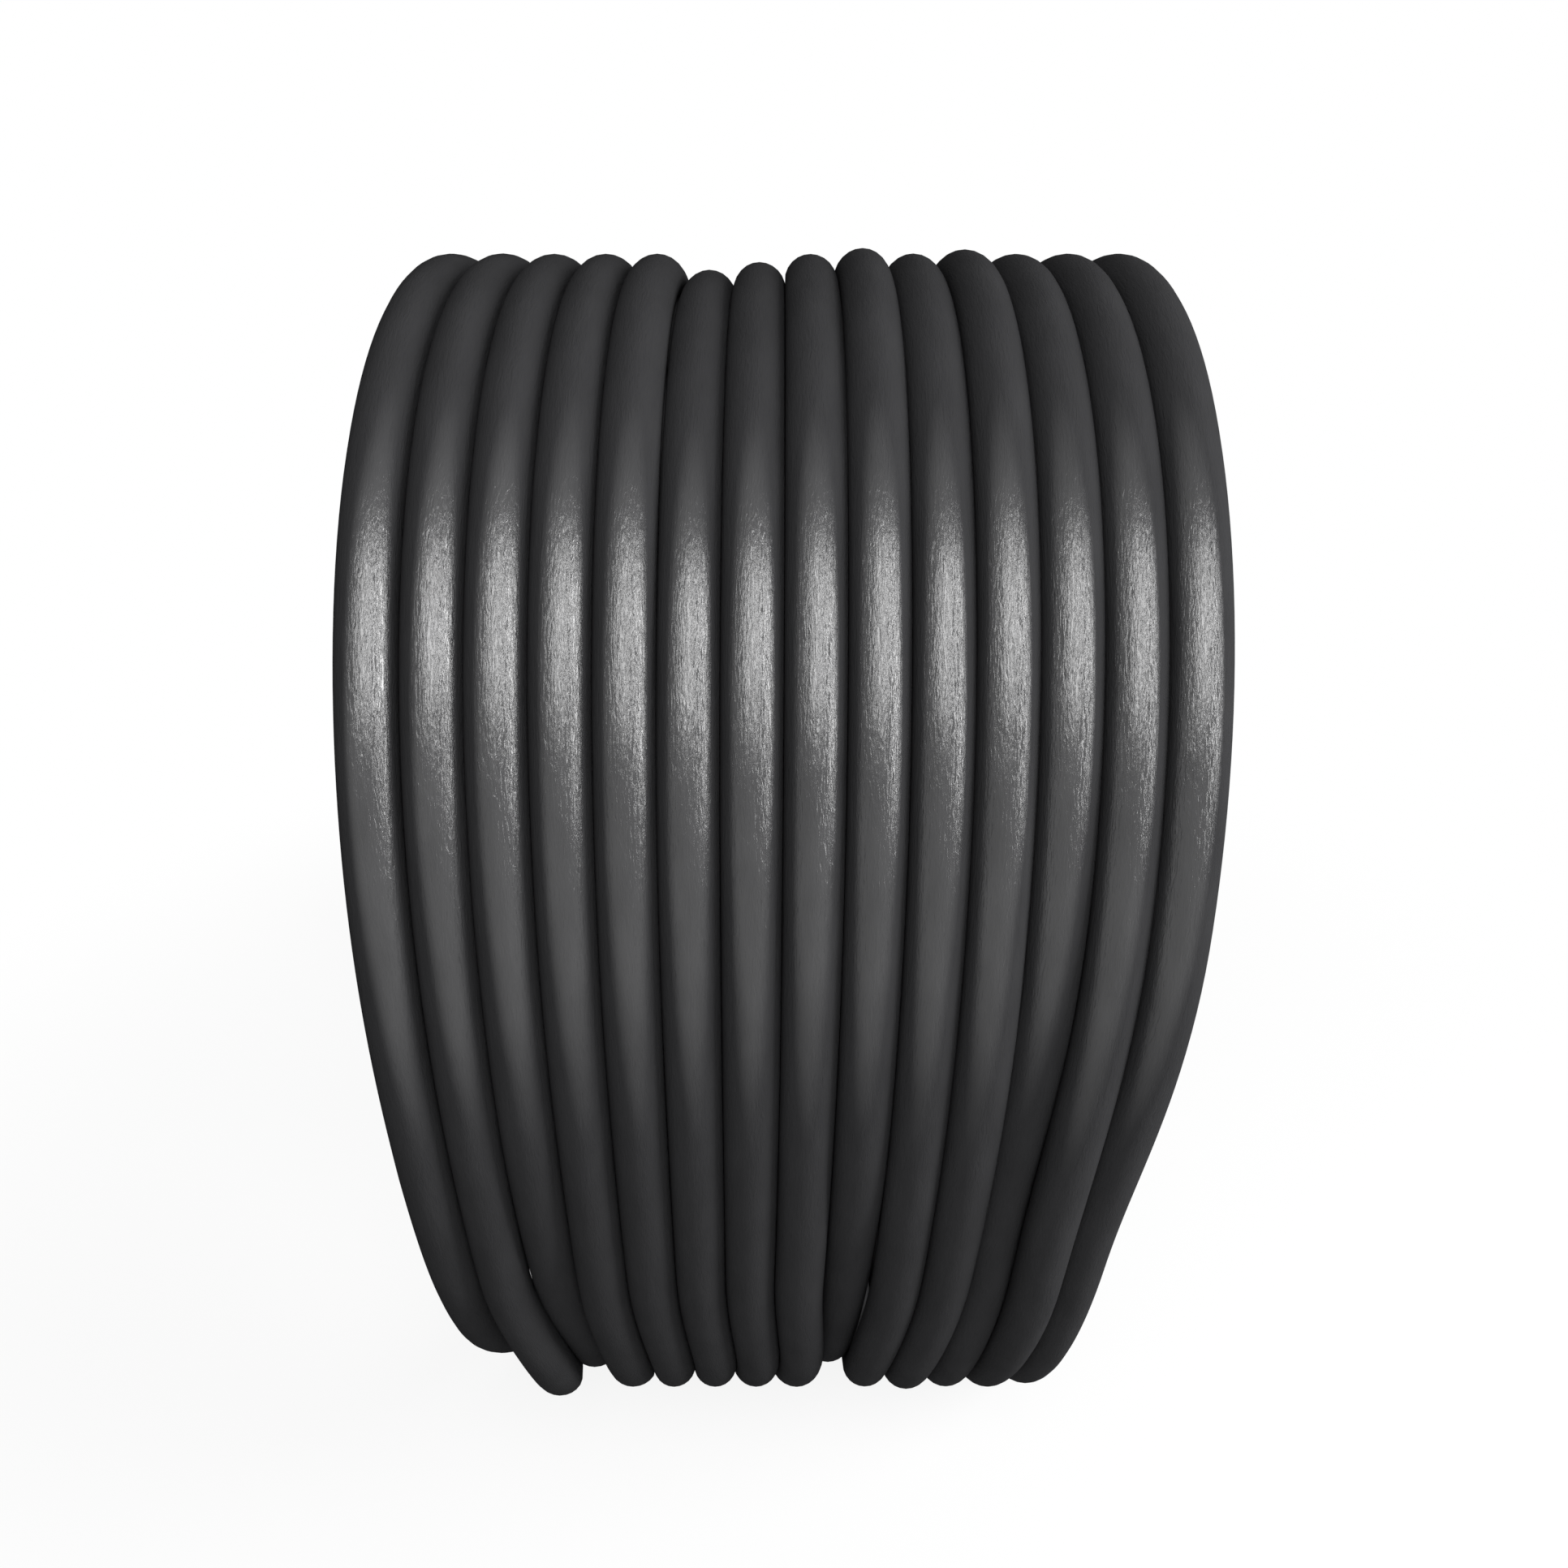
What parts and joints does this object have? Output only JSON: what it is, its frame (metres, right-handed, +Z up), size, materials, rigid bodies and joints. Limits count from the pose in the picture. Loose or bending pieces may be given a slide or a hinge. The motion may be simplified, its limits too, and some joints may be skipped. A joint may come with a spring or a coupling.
{
  "type": "soaker hose",
  "caption": "Coiled porous soaker hose, its turns wound side by side, with a swivel inlet nut and a screwed end cap lying inside the coil.",
  "frame": {"origin": "on the ground, under the middle of the coil", "axes": "+X along the coil's axis, to the picture's right; -Y towards the front; +Z up"},
  "size_m": [0.1894, 0.3398, 0.3575],
  "materials": {
    "porous_rubber": "satin black, finely wrinkled",
    "brass_sleeve": "crimped brass tube",
    "brass": "machined brass",
    "black_plastic": "moulded black plastic",
    "white_plastic": "moulded natural plastic",
    "washer_rubber": "moulded black rubber"
  },
  "bodies": {
    "coil": {"hose": "porous_rubber", "inlet_stem": "brass", "inlet_ferrule": "brass_sleeve", "inlet_washer": "washer_rubber", "flow_restrictor": "white_plastic", "outlet_stem": "brass", "outlet_ferrule": "brass_sleeve"},
    "swivel_nut": {"inlet_nut": "brass"},
    "cap_seal": {"cap_washer": "washer_rubber"},
    "cap": {"end_cap": "black_plastic"}
  },
  "joints": [
    {"name": "inlet_nut_spin", "type": "hinge", "parent": "coil", "child": "swivel_nut", "pos_m": [-0.06407, 0.00145, 0.02782], "axis": [0, 1, 0], "continuous": true},
    {"name": "cap_travel", "type": "slide", "parent": "coil", "child": "cap_seal", "axis": [0, -1, 0], "range_m": [0, 0.014]},
    {"name": "cap_turn", "type": "hinge", "parent": "cap_seal", "child": "cap", "pos_m": [0.06293, -0.01355, 0.02782], "axis": [0, -1, 0], "range_deg": [0, 2268]}
  ],
  "couplings": [
    {"joint": "cap_travel", "follows": "cap_turn", "m_per_rad": 0.00035157}
  ]
}
